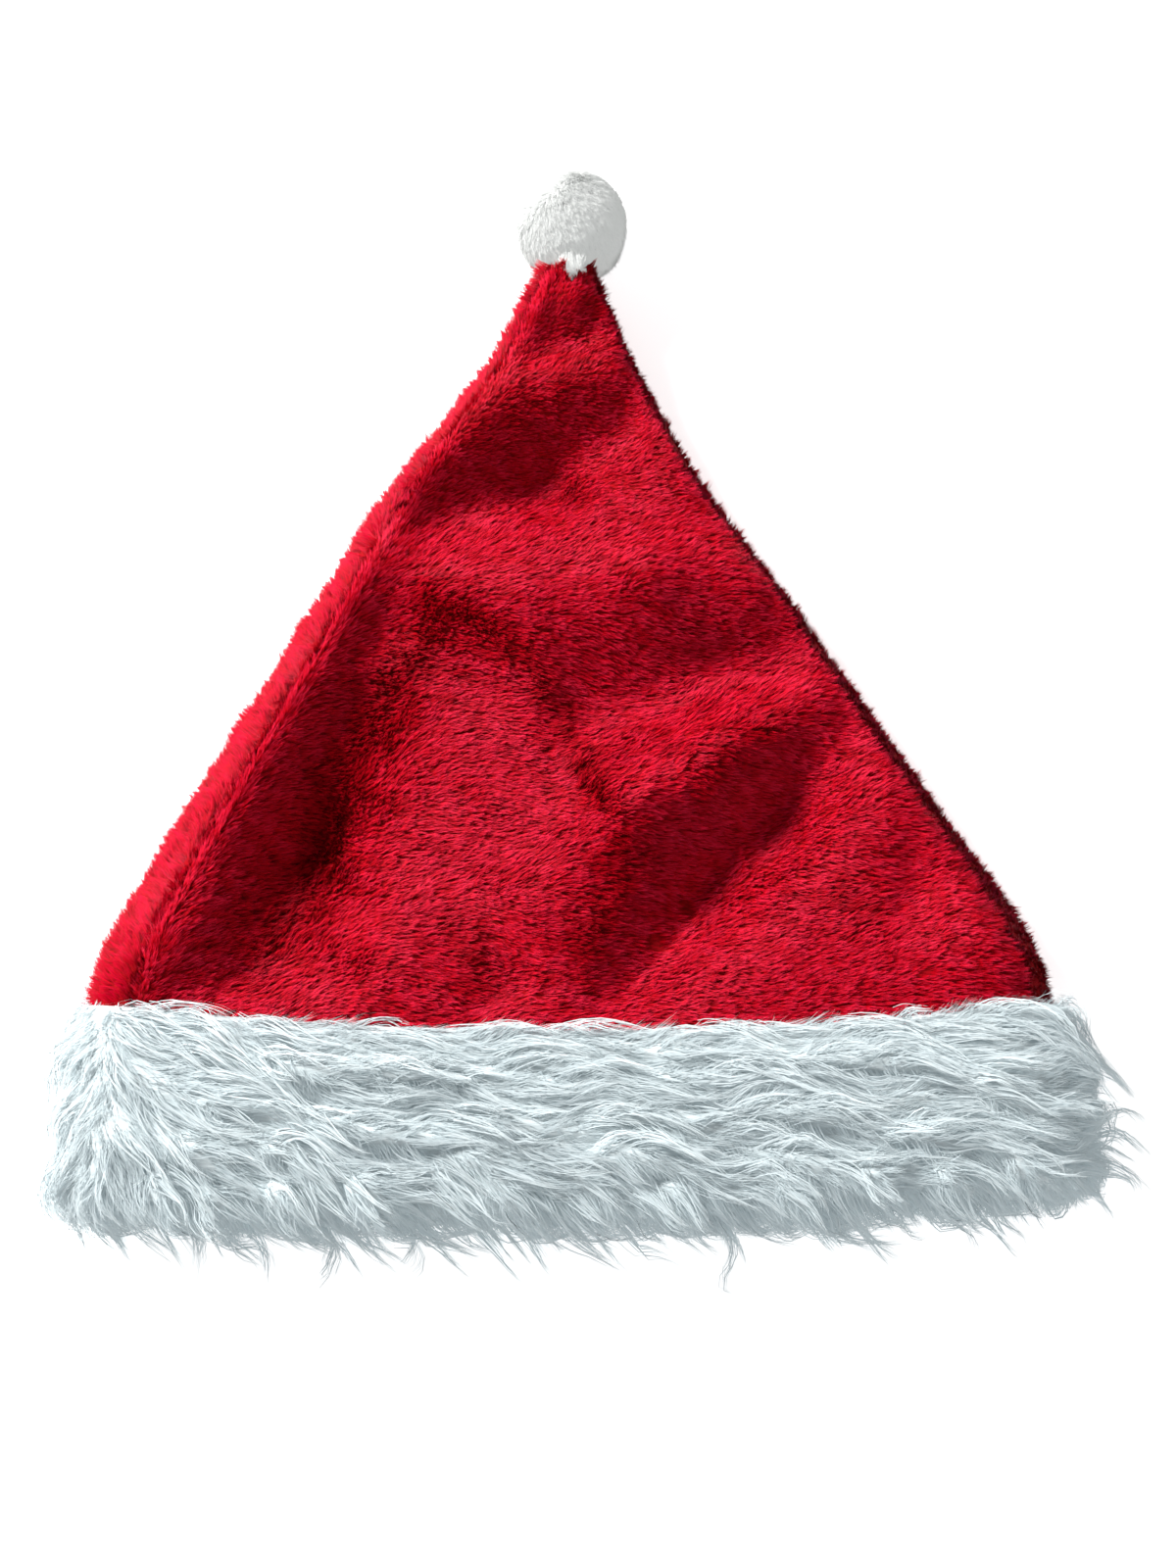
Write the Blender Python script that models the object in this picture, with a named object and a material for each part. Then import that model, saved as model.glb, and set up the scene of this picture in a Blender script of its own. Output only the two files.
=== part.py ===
"""Santa hat lying flat: two plush crown panels, a deep fur brim and a fur pompom.

Metres, +Z up. The hat lies on its back on the plane z = 0. The head opening faces -Y, the
pompom lies towards +Y, and the origin is on the flat underside, in the middle of the hat.
"""

import math
import random
from collections import namedtuple

import bmesh
import bpy
from mathutils import Vector

# Cloth and gaps
CLOTH = 0.0025  # plush cloth, backing and pressed pile
SEAM_GAP = 0.0009  # groove between the two crown panels
HEM_GAP = 0.0004  # between the crown's hem and the brim round it
POMPOM_GAP = 0.0003  # between the crown's tip and the ball that it is sewn to

# Crown, as it lies
RIM_Y = -0.105  # where the crown's sides meet the brim
CROWN_LENGTH = 0.2395  # from there to the tip, at the sides
RIM_WIDTH = 0.293
TIP_WIDTH = 0.0176
CROWN_LOFT = 0.026  # both layers and the air between them, at their thickest
EDGE_HEIGHT = 0.42  # of the side edges over the underside, as a share of the loft
EDGE_ROLL = 0.022  # how far the top rounds down to each side edge
FLOOR_ROLL = 0.010  # how far the underside rounds up to each side edge
TIP_LIFT = 0.006  # the tip is held this far off the floor by the pompom
SEAM_INSET_LEFT = 0.0165  # from the side edge to the seam that shows on the top, at the rim
SEAM_INSET_RIGHT = 0.010
HEM_TUCK = 0.010  # length of crown inside the brim
RIM_SAG = 0.009  # how far the rim bows towards the opening in its middle

# Brim
BRIM_HEIGHT = 0.0575  # of its backing, at the sides
MOUTH_SAG = 0.0055  # how far the mouth bows out in its middle
MOUTH_TILT = 0.0025  # the left end hangs this much lower, and the right end higher
BACKING = 0.003
FUR_OVER = 0.0115  # fur depth on the upper side
FUR_UNDER = 0.0030  # pressed under the hat
FUR_LEFT = 0.0038  # at the mouth, where the fur at the ends hangs out furthest
FUR_LEFT_TOP = 0.0022  # at the brim's upper edge
FUR_RIGHT = 0.0105
FUR_RIGHT_TOP = 0.0035
FUR_OVERHANG = 0.0035  # fur standing past the mouth's edge
STRIP_RELIEF = 0.0016  # height of the combed strips in the fur
LOCK_RADIUS = 0.0042

# Pompom
POMPOM_RADIUS = 0.0165  # of the dense ball
TUFT_LENGTH = 0.0022  # tufts standing out of the ball
TUFT_RADIUS = 0.0042
POMPOM_SINK = 0.0012  # the ball is pressed this much flat on the floor
POMPOM_SHIFT = 0.0015  # to the right of the tip's middle

# Mesh fineness
CROWN_ROWS = 28
FRONT_COLUMNS = 28
BACK_COLUMNS = {"top_left": 4, "low_left": 3, "floor": 4, "low_right": 3, "top_right": 3}
TUFTS = 46

# One row for each section of the crown, from the hem to the tip. centre and half are shares
# of half the rim's width (half runs from the tip's width to the rim's), loft of CROWN_LOFT.
Section = namedtuple("Section", "along centre half loft")
SECTIONS = [
    Section(0.00, -0.038, 1.000, 0.92),
    Section(0.05, -0.038, 1.000, 0.92),
    Section(0.13, -0.036, 0.954, 0.96),
    Section(0.28, -0.053, 0.792, 1.00),
    Section(0.48, -0.067, 0.565, 1.00),
    Section(0.59, -0.077, 0.441, 0.97),
    Section(0.70, -0.089, 0.312, 0.91),
    Section(0.80, -0.073, 0.195, 0.83),
    Section(0.91, -0.056, 0.078, 0.76),
    Section(1.00, -0.047, 0.000, 0.82),
]

# One row for each fold or dent of the upper panel, along a line between two points. Points
# are shares of the crown's length and of the local half width. width is a share of
# RIM_WIDTH and height of CROWN_LOFT, and a dent's is negative.
Fold = namedtuple("Fold", "along0 across0 along1 across1 width height")
FOLDS = [
    Fold(0.930, -0.60, 0.950, 0.40, 0.020, 0.06),
    Fold(0.885, -0.30, 0.915, 0.55, 0.022, -0.18),
    Fold(0.845, 0.00, 0.870, 0.90, 0.022, 0.18),
    Fold(0.730, -0.90, 0.850, -0.35, 0.036, 0.22),
    Fold(0.660, -0.60, 0.720, -0.05, 0.042, -0.32),
    Fold(0.720, -0.05, 0.780, 0.60, 0.040, -0.30),
    Fold(0.570, -0.15, 0.585, 0.40, 0.044, 0.22),
    Fold(0.585, 0.40, 0.570, 0.92, 0.042, 0.24),
    Fold(0.620, -0.92, 0.580, -0.45, 0.034, 0.18),
    Fold(0.425, 0.06, 0.475, 0.92, 0.044, -0.40),
    Fold(0.520, -0.70, 0.450, -0.25, 0.044, -0.20),
    Fold(0.450, 0.92, 0.370, 0.46, 0.040, 0.24),
    Fold(0.370, 0.46, 0.300, 0.18, 0.040, 0.26),
    Fold(0.300, 0.18, 0.150, -0.14, 0.038, 0.22),
    Fold(0.385, 0.90, 0.285, 0.56, 0.036, -0.26),
    Fold(0.285, 0.56, 0.205, 0.34, 0.038, -0.28),
    Fold(0.205, 0.34, 0.080, 0.10, 0.036, -0.40),
    Fold(0.195, 0.80, 0.190, 0.80, 0.028, -0.38),
    Fold(0.165, -0.38, 0.080, -0.38, 0.030, 0.22),
    Fold(0.140, -0.16, 0.080, -0.14, 0.028, -0.32),
    Fold(0.560, -0.86, 0.070, -0.88, 0.034, 0.24),
    Fold(0.400, -0.61, 0.250, -0.65, 0.054, -0.32),
    Fold(0.250, -0.65, 0.060, -0.67, 0.046, -0.38),
    Fold(0.330, -0.40, 0.110, -0.50, 0.080, -0.16),
    Fold(0.280, 0.84, 0.100, 0.88, 0.056, 0.20),
]

# One row for each corner of the crown's upper end, from its left edge to its right. reach is
# how far it runs over the pompom, as a share of the pompom's radius.
Corner = namedtuple("Corner", "across reach")
CORNERS = [
    Corner(-1.00, 0.00),
    Corner(-0.78, 0.03),
    Corner(-0.34, 0.30),
    Corner(0.14, -0.02),
    Corner(0.60, 0.16),
    Corner(1.00, 0.00),
]

# One row for each point of the fur's outline across the brim, from its mouth to its upper
# edge. depth is a share of the fur's full depth.
Depth = namedtuple("Depth", "across depth")
DEPTHS = [
    Depth(0.00, 0.52),
    Depth(0.08, 0.84),
    Depth(0.25, 1.00),
    Depth(0.50, 0.98),
    Depth(0.72, 0.84),
    Depth(0.90, 0.56),
    Depth(1.00, 0.18),
]

# One row for each band of locks on the brim. first and last are places round the brim, as
# shares of its upper side from left to right, run is how far a lock reaches along it, drop
# how far it swings towards the mouth, as a share of the brim's height.
Locks = namedtuple("Locks", "count first last across run drop size")
LOCKS = [
    Locks(7, 0.03, 0.82, 0.80, 0.13, 0.10, 0.95),
    Locks(6, 0.08, 0.80, 0.52, 0.14, 0.12, 1.10),
    Locks(6, 0.02, 0.84, 0.30, 0.13, 0.26, 1.10),
    Locks(11, 0.02, 0.96, 0.15, 0.06, 0.28, 1.25),
    Locks(3, 0.88, 0.93, 0.60, 0.13, 0.30, 0.90),
]


def smooth(x):
    x = min(max(x, 0.0), 1.0)
    return x * x * (3 - 2 * x)


def read(table, column, at):
    """A column of a table at a place in its first column, by a smooth curve through the rows."""
    keys = [row[0] for row in table]
    values = [getattr(row, column) for row in table]
    at = min(max(at, keys[0]), keys[-1])
    i = max(j for j in range(len(keys) - 1) if keys[j] <= at)
    slopes = []
    for j in (i, i + 1):
        low, high = max(j - 1, 0), min(j + 1, len(keys) - 1)
        slopes.append((values[high] - values[low]) / (keys[high] - keys[low]))
    span = keys[i + 1] - keys[i]
    t = (at - keys[i]) / span
    return (
        values[i] * (1 + 2 * t) * (1 - t) ** 2
        + slopes[0] * span * t * (1 - t) ** 2
        + values[i + 1] * t * t * (3 - 2 * t)
        + slopes[1] * span * t * t * (t - 1)
    )


# The crown's outline and sections

BRIM_LIFT = BACKING + FUR_UNDER + HEM_GAP  # the hem lies this high, on the brim's underside
TIP_Y = RIM_Y + CROWN_LENGTH
HEM_Y = RIM_Y - HEM_TUCK
BRIM_COVERS = HEM_TUCK / (CROWN_LENGTH + HEM_TUCK)  # share of the crown inside the brim


def half_width(along):
    return TIP_WIDTH / 2 + (RIM_WIDTH - TIP_WIDTH) / 2 * read(SECTIONS, "half", along)


def centre_x(along):
    return RIM_WIDTH / 2 * read(SECTIONS, "centre", along)


def loft(along):
    return CROWN_LOFT * read(SECTIONS, "loft", along)


def lift(along):
    """Height of the crown's underside: up on the brim, down on the floor, up to the pompom."""
    from_brim = 1 - smooth((along - BRIM_COVERS - 0.01) / 0.2)
    return BRIM_LIFT * from_brim + TIP_LIFT * smooth((along - 0.84) / 0.16)


def seam_x(along, side):
    """Where the seam runs that shows on the top, at the left (-1) or the right (1)."""
    inset = SEAM_INSET_LEFT if side < 0 else SEAM_INSET_RIGHT
    inset *= math.sqrt(half_width(along) / (RIM_WIDTH / 2))
    return centre_x(along) + side * (half_width(along) - inset)


def crown_y(along, across):
    hem = HEM_Y - RIM_SAG * (1 - across * across)
    return hem + along * (TIP_Y - hem)


def rounding(inset, roll, half):
    """1 on the flat and 0 at the side edge, where the surface stands upright."""
    roll = roll * half / (half + roll)
    return math.sqrt(1 - (1 - min(max(inset / roll, 0.0), 1.0)) ** 2)


def widest(along):
    """Height of the side edge over the underside."""
    return EDGE_HEIGHT * loft(along)


def top_z(along, across, grow=0.0):
    half = half_width(along) + grow
    inset = half * (1 - abs(across))
    over = loft(along) - widest(along) + grow
    return lift(along) + widest(along) + over * rounding(inset, EDGE_ROLL, half)


def under_z(along, across, grow=0.0):
    half = half_width(along) + grow
    inset = half * (1 - abs(across))
    below = widest(along) + grow
    return lift(along) + widest(along) - below * rounding(inset, FLOOR_ROLL, half)


def plan(along, across):
    return Vector((centre_x(along) + half_width(along) * across, crown_y(along, across)))


FOLD_LINES = [(plan(f.along0, f.across0), plan(f.along1, f.across1), f) for f in FOLDS]


def folds_at(along, across):
    """How far the folds and dents move the top up. They fade out at the side edges and the hem."""
    here = plan(along, across)
    height = 0.0
    for start, end, fold in FOLD_LINES:
        line = end - start
        t = min(max((here - start).dot(line) / line.length_squared, 0.0), 1.0)
        away = (here - start - line * t).length / (fold.width * RIM_WIDTH)
        height += fold.height * CROWN_LOFT * math.exp(-away * away)
    roll = EDGE_ROLL * half_width(along) / (half_width(along) + EDGE_ROLL)
    fade = smooth(half_width(along) * (1 - abs(across)) / roll)
    return height * fade * smooth((along - BRIM_COVERS) / 0.045) * smooth((1 - along) / 0.05)


def folded_z(along, across, grow=0.0):
    return top_z(along, across, grow) + folds_at(along, across)


# The pompom's place, which the crown's tip follows

POMPOM = Vector(
    (
        centre_x(1) + POMPOM_SHIFT,
        TIP_Y + 0.97 * POMPOM_RADIUS,
        POMPOM_RADIUS - POMPOM_SINK,
    )
)


def over_pompom(x, y, z):
    """z, or as high as the cloth has to lie there to clear the ball."""
    reach = POMPOM_RADIUS + POMPOM_GAP + CLOTH
    away = math.hypot(x - POMPOM.x, y - POMPOM.y)
    return max(z, POMPOM.z + math.sqrt(reach**2 - away**2)) if away < reach else z


def seam_to_seam(along, share):
    """(spread, across) of a point of the upper panel, share of the way between the seams.

    spread is share with the points drawn together at the seams, across is the same place as a
    share of the half width.
    """
    left, right = seam_x(along, -1), seam_x(along, 1)
    spread = share - 0.35 * math.sin(2 * math.pi * share) / (2 * math.pi)
    return spread, (left + (right - left) * spread - centre_x(along)) / half_width(along)


def front_point(along, share):
    spread, across = seam_to_seam(along, share)
    x = centre_x(along) + half_width(along) * across
    y = crown_y(along, across)
    y += POMPOM_RADIUS * read(CORNERS, "reach", 2 * spread - 1) * smooth((along - 0.9) / 0.1)
    z = folded_z(along, across)
    return Vector((x, y, over_pompom(x, y, z)))


def side_insets(full, count):
    """count + 1 distances from the side edge, 0 to full, closest at the edge."""
    return [full * (1 - math.cos(math.pi / 2 * i / count)) for i in range(count + 1)]


def round_section(along, grow=0.0, gap=0.0):
    """(x, z) of the lower panel, from the left seam out, under and up to the right seam."""
    half, middle = half_width(along) + grow, centre_x(along)
    points = []

    def add(side, inset, z):
        across = side * (1 - inset / half)
        points.append((middle + half * across, z(along, across, grow)))

    left_inset = half - (middle - seam_x(along, -1)) - gap
    right_inset = half - (seam_x(along, 1) - middle) - gap
    roll = FLOOR_ROLL * half / (half + FLOOR_ROLL)
    for inset in reversed(side_insets(left_inset, BACK_COLUMNS["top_left"])):
        add(-1, inset, folded_z)
    for inset in side_insets(roll, BACK_COLUMNS["low_left"])[1:]:
        add(-1, inset, under_z)
    for i in range(1, BACK_COLUMNS["floor"]):
        add(-1, roll + 2 * (half - roll) * i / BACK_COLUMNS["floor"], under_z)
    for inset in reversed(side_insets(roll, BACK_COLUMNS["low_right"])[1:]):
        add(1, inset, under_z)
    for inset in side_insets(right_inset, BACK_COLUMNS["top_right"]):
        add(1, inset, folded_z)
    return points


def crown_loop(along):
    """Points all round the crown: the upper panel from left to right, then the lower one back."""
    upper = [front_point(along, i / FRONT_COLUMNS) for i in range(FRONT_COLUMNS + 1)]
    lower = []
    for x, z in reversed(round_section(along, gap=SEAM_GAP)):
        across = (x - centre_x(along)) / half_width(along)
        y = crown_y(along, across)
        lower.append(Vector((x, y, over_pompom(x, y, z) if z > POMPOM.z else z)))
    return upper + lower


# Building blocks


def add_object(name, mesh, collection, material=None):
    thing = bpy.data.objects.new(name, mesh)
    collection.objects.link(thing)
    if material:
        mesh.materials.append(material)
    return thing


def finish_mesh(mesh, angle=40):
    mesh.shade_smooth()
    mesh.set_sharp_from_angle(angle=math.radians(angle))


def sheet_of_cloth(name, rows, columns, place):
    """A flat grid given thickness, each of whose corners place(row, column, inside) moves."""
    shape = bmesh.new()
    bmesh.ops.create_grid(shape, x_segments=columns, y_segments=rows, size=0.5)
    bmesh.ops.solidify(shape, geom=shape.faces[:], thickness=1)
    bmesh.ops.recalc_face_normals(shape, faces=shape.faces)
    for corner in shape.verts:
        row = round((corner.co.y + 0.5) * rows)
        column = round((corner.co.x + 0.5) * columns)
        corner.co = place(row, column, (abs(corner.co.z) > 0.5))
    bmesh.ops.recalc_face_normals(shape, faces=shape.faces)
    mesh = bpy.data.meshes.new(name)
    shape.to_mesh(mesh)
    shape.free()
    return mesh


def row_share(row, rows):
    """Closer together towards the tip."""
    return 1 - (1 - row / rows) ** 1.25


def fill_hollows(mesh):
    """Keeps only the outer skin: the largest of the mesh's separate surfaces."""
    shape = bmesh.new()
    shape.from_mesh(mesh)
    surfaces = []
    left = set(shape.verts)
    while left:
        surface, edge = set(), [left.pop()]
        while edge:
            corner = edge.pop()
            surface.add(corner)
            beside = {link.other_vert(corner) for link in corner.link_edges} & left
            left -= beside
            edge.extend(beside)
        surfaces.append(surface)
    surfaces.sort(key=len)
    inner = [corner for surface in surfaces[:-1] for corner in surface]
    bmesh.ops.delete(shape, geom=inner, context="VERTS")
    bmesh.ops.dissolve_degenerate(shape, edges=shape.edges, dist=0.000005)
    bmesh.ops.triangulate(shape, faces=shape.faces)
    shape.to_mesh(mesh)
    shape.free()


def unite(name, base, extras, collection, material):
    """One closed body of a base mesh and the closed forms in extras, which overlap it."""
    body = add_object(name, base, collection, material)
    cutter = add_object(name + "_extras", extras, collection)
    union = body.modifiers.new("fuse", "BOOLEAN")
    union.operation = "UNION"
    union.object = cutter
    union.use_self = True
    bpy.context.view_layer.update()
    graph = bpy.context.evaluated_depsgraph_get()
    fused = bpy.data.meshes.new_from_object(body.evaluated_get(graph))
    body.modifiers.clear()
    body.data = fused
    bpy.data.objects.remove(cutter)
    fill_hollows(fused)
    finish_mesh(fused)
    return body


def tapered_locks(name, paths, radii):
    """One mesh of closed tapered tubes, from a curve with a spline for each path."""
    curve = bpy.data.curves.new(name, "CURVE")
    curve.dimensions = "3D"
    curve.bevel_depth = 1.0
    curve.bevel_resolution = 1
    curve.use_fill_caps = True
    for path, sizes in zip(paths, radii):
        spline = curve.splines.new("POLY")
        spline.points.add(len(path) - 1)
        for point, place, size in zip(spline.points, path, sizes):
            point.co = (*place, 1)
            point.radius = size
    thing = bpy.data.objects.new(name, curve)
    bpy.context.scene.collection.objects.link(thing)
    bpy.context.view_layer.update()
    graph = bpy.context.evaluated_depsgraph_get()
    mesh = bpy.data.meshes.new_from_object(thing.evaluated_get(graph))
    bpy.data.objects.remove(thing)
    shape = bmesh.new()
    shape.from_mesh(mesh)
    bmesh.ops.remove_doubles(shape, verts=shape.verts, dist=0.00001)
    bmesh.ops.recalc_face_normals(shape, faces=shape.faces)
    shape.to_mesh(mesh)
    shape.free()
    return mesh


# Crown


def cloth_normals(loops):
    """The outward direction at each point. The two panels share it at their seams."""
    normals = []
    for row, loop in enumerate(loops):
        before, after = loops[max(row - 1, 0)], loops[min(row + 1, len(loops) - 1)]
        ring = []
        for i in range(len(loop)):
            round_it = loop[(i + 1) % len(loop)] - loop[i - 1]
            ring.append(round_it.cross(after[i] - before[i]).normalized())
        for i, j in ((FRONT_COLUMNS, FRONT_COLUMNS + 1), (len(ring) - 1, 0)):
            ring[i] = ring[j] = (ring[i] + ring[j]).normalized()
        normals.append(ring)
    return normals


def build_crown(collection, material):
    loops = [crown_loop(row_share(row, CROWN_ROWS)) for row in range(CROWN_ROWS + 1)]
    normals = cloth_normals(loops)
    lower_columns = sum(BACK_COLUMNS.values())
    panels = (("crown_front", 0, FRONT_COLUMNS), ("crown_back", FRONT_COLUMNS + 1, lower_columns))
    for name, first, columns in panels:

        def place(row, column, inside):
            i = first + column
            return loops[row][i] - normals[row][i] * (CLOTH if inside else 0)

        sheet = sheet_of_cloth(name, CROWN_ROWS, columns, place)
        add_object(name, sheet, collection, material)
        finish_mesh(sheet)


# Brim


def fur_depth(nx, nz, across):
    """The fur's full depth on a side of the brim that faces (nx, nz)."""
    mouth, top = (FUR_RIGHT, FUR_RIGHT_TOP) if nx > 0 else (FUR_LEFT, FUR_LEFT_TOP)
    return (
        (FUR_OVER if nz > 0 else FUR_UNDER) * nz * nz
        + (mouth + (top - mouth) * across) * nx * nx
    )


def brim_loop():
    """(point, outward direction) round the brim's inside, from the left seam over the top."""
    along = 0.0
    upper = []
    for column in range(FRONT_COLUMNS + 1):
        across = seam_to_seam(along, column / FRONT_COLUMNS)[1]
        x = centre_x(along) + (half_width(along) + HEM_GAP) * across
        upper.append((x, top_z(along, across, HEM_GAP)))
    under = round_section(along, grow=HEM_GAP)
    points = upper + under[-2:0:-1]
    loop = []
    for i, (x, z) in enumerate(points):
        ahead, behind = points[(i + 1) % len(points)], points[i - 1]
        way = Vector((ahead[0] - behind[0], ahead[1] - behind[1])).normalized()
        loop.append((Vector((x, z)), Vector((-way.y, way.x))))
    return loop


def brim_edges(x):
    """(mouth, upper edge) of the brim's backing at this place across the hat."""
    across = min(max((x - centre_x(0)) / (RIM_WIDTH / 2), -1.0), 1.0)
    bow = 1 - across * across
    upper = RIM_Y - RIM_SAG * bow
    mouth = RIM_Y - BRIM_HEIGHT - MOUTH_SAG * bow + MOUTH_TILT * across
    return mouth, upper


BRIM_ROWS = [0.0, 0.08, 0.17, 0.26, 0.35, 0.44, 0.53, 0.62, 0.71, 0.80, 0.90, 1.0]


def fur_point(loop, i, across):
    """A point on the fur's outside, across the brim from its mouth (0) to its upper edge (1)."""
    place, out = loop[i % len(loop)]
    mouth, upper = brim_edges(place.x)
    depth = BACKING + fur_depth(out.x, out.y, across) * read(DEPTHS, "depth", across)
    wave = 0.55 * math.sin(i * 0.55) + 0.3 * math.sin(i * 0.23 + 1)
    strips = math.sin(2 * math.pi * (3.4 * across + 0.32 * wave))
    free = smooth((out.y + 0.3) / 0.6) * smooth(across / 0.15) * smooth((1 - across) / 0.15)
    depth += STRIP_RELIEF * strips * free
    spot = place + out * depth
    return Vector((spot.x, mouth + (upper - mouth) * across, max(spot.y, 0.0)))


def brim_ring(loop):
    """The backing and the fur on it, as a ring closed round the head opening."""
    rings = []
    for i, (place, out) in enumerate(loop):
        mouth, upper = brim_edges(place.x)
        outside = [fur_point(loop, i, across) for across in BRIM_ROWS]
        lip_depth = (outside[0] - Vector((place.x, outside[0].y, place.y))).length
        lip = Vector((place.x, mouth - FUR_OVERHANG, place.y))
        lip += Vector((out.x, 0, out.y)) * lip_depth * 0.45
        lip.z = max(lip.z, 0.0)
        ring = [Vector((place.x, upper, place.y)), Vector((place.x, mouth, place.y)), lip, *outside]
        rings.append(ring)
    shape = bmesh.new()
    rows = [[shape.verts.new(point) for point in ring] for ring in rings]
    for i, row in enumerate(rows):
        after = rows[(i + 1) % len(rows)]
        for j in range(len(row)):
            k = (j + 1) % len(row)
            shape.faces.new((row[j], row[k], after[k], after[j]))
    bmesh.ops.recalc_face_normals(shape, faces=shape.faces)
    mesh = bpy.data.meshes.new("brim")
    shape.to_mesh(mesh)
    shape.free()
    return mesh


def build_brim(collection, material):
    loop = brim_loop()
    chance = random.Random(7)
    paths, radii = [], []
    for band in LOCKS:
        for n in range(band.count):
            start = band.first + (band.last - band.first) * (n + 0.5) / band.count
            start += 0.02 * chance.uniform(-1, 1)
            path = lock_path(loop, start, band, chance)
            size = LOCK_RADIUS * band.size * chance.uniform(0.85, 1.1)
            paths.append(path)
            radii.append([size * r for r in (0.5, 1.0, 1.0, 0.7, 0.12)])
    locks = tapered_locks("brim_locks", paths, radii)
    unite("brim", brim_ring(loop), locks, collection, material)


def lock_path(loop, start, band, chance):
    """Five points of a lock, which starts in the fur and ends with its tip free."""
    path = []
    across0 = band.across + 0.05 * chance.uniform(-1, 1)
    bend = chance.uniform(-0.05, 0.05)
    for step, rise in enumerate((-0.30, -0.05, 0.0, -0.1, -0.1)):
        t = step / 4
        where = (start + band.run * t) * FRONT_COLUMNS
        across = across0 - band.drop * t * t + bend * math.sin(math.pi * t)
        inside = max(across, 0.0)
        i = min(int(where), FRONT_COLUMNS + 2)
        near, far = fur_point(loop, i, inside), fur_point(loop, i + 1, inside)
        point = near.lerp(far, where - i)
        out = loop[i % len(loop)][1]
        point += Vector((out.x, 0, out.y)) * LOCK_RADIUS * rise
        if across < 0:
            past = -across * BRIM_HEIGHT
            point.y -= past * 0.6
            point.z -= past * 1.1
        point.z = max(point.z, LOCK_RADIUS)
        path.append(point)
    return path


# Pompom


def build_pompom(collection, material):
    ball = bmesh.new()
    bmesh.ops.create_uvsphere(ball, u_segments=22, v_segments=14, radius=POMPOM_RADIUS)
    for corner in ball.verts:
        corner.co += POMPOM
        corner.co.z = max(corner.co.z, 0.0)
    base = bpy.data.meshes.new("pompom")
    ball.to_mesh(base)
    ball.free()

    paths, radii = [], []
    turn = math.pi * (3 - math.sqrt(5))
    for n in range(TUFTS):
        height = 1 - 2 * (n + 0.5) / TUFTS
        flat = math.sqrt(1 - height * height)
        way = Vector((flat * math.cos(n * turn), flat * math.sin(n * turn), height))
        at_the_tip = way.y < -0.55 and way.z < 0.93
        if at_the_tip or height < -0.55:
            continue
        foot = POMPOM + way * (POMPOM_RADIUS - 0.5 * TUFT_RADIUS)
        middle = POMPOM + way * (POMPOM_RADIUS + 0.25 * TUFT_LENGTH)
        end = POMPOM + way * (POMPOM_RADIUS + TUFT_LENGTH)
        paths.append([foot, middle, end])
        radii.append([TUFT_RADIUS, 0.75 * TUFT_RADIUS, 0.15 * TUFT_RADIUS])
    tufts = tapered_locks("pompom_tufts", paths, radii)
    unite("pompom", base, tufts, collection, material)


def make_material(name, colour, roughness):
    material = bpy.data.materials.new(name)
    material.use_nodes = True
    shader = material.node_tree.nodes["Principled BSDF"]
    shader.inputs["Base Color"].default_value = (*colour, 1)
    shader.inputs["Roughness"].default_value = roughness
    shader.inputs["Metallic"].default_value = 0.0
    return material


def main():
    for thing in list(bpy.data.objects):
        bpy.data.objects.remove(thing)
    hat = bpy.data.collections.new("santa_hat")
    bpy.context.scene.collection.children.link(hat)
    build_crown(hat, make_material("red_plush", (0.62, 0.01, 0.03), 0.85))
    build_brim(hat, make_material("white_long_fur", (0.82, 0.87, 0.88), 0.75))
    build_pompom(hat, make_material("white_pompom_fur", (0.86, 0.88, 0.86), 0.8))


main()
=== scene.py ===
import math

import bmesh
import bpy
import numpy as np
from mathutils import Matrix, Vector
from mathutils.bvhtree import BVHTree


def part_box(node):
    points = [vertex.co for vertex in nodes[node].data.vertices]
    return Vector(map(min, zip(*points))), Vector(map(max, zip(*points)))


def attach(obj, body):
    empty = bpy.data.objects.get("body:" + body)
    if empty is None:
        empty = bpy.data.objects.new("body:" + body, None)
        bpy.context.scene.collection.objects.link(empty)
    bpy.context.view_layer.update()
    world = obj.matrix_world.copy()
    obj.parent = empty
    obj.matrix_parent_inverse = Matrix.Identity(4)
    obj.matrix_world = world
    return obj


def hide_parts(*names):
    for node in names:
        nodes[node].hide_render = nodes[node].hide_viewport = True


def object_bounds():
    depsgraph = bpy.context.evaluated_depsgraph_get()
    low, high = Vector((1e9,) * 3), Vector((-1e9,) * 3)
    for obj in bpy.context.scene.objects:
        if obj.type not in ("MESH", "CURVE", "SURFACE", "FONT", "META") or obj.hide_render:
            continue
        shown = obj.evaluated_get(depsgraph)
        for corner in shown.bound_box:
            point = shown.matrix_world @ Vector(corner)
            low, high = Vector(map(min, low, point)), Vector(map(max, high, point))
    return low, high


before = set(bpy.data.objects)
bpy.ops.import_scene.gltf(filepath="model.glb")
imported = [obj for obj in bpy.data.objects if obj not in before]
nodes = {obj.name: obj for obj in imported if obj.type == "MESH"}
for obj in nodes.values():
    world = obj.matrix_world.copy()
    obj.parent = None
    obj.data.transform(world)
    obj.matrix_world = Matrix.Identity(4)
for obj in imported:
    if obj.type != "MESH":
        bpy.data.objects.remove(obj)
cad_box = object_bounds()
chance = np.random.default_rng(11)

# Camera at the photograph's angle

VIEW_ELEVATION = math.radians(78)
VIEW_DISTANCE = 0.6806
VIEW_TARGET = Vector((0.0, -0.0358, 0.014))
LENS = 50


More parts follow.
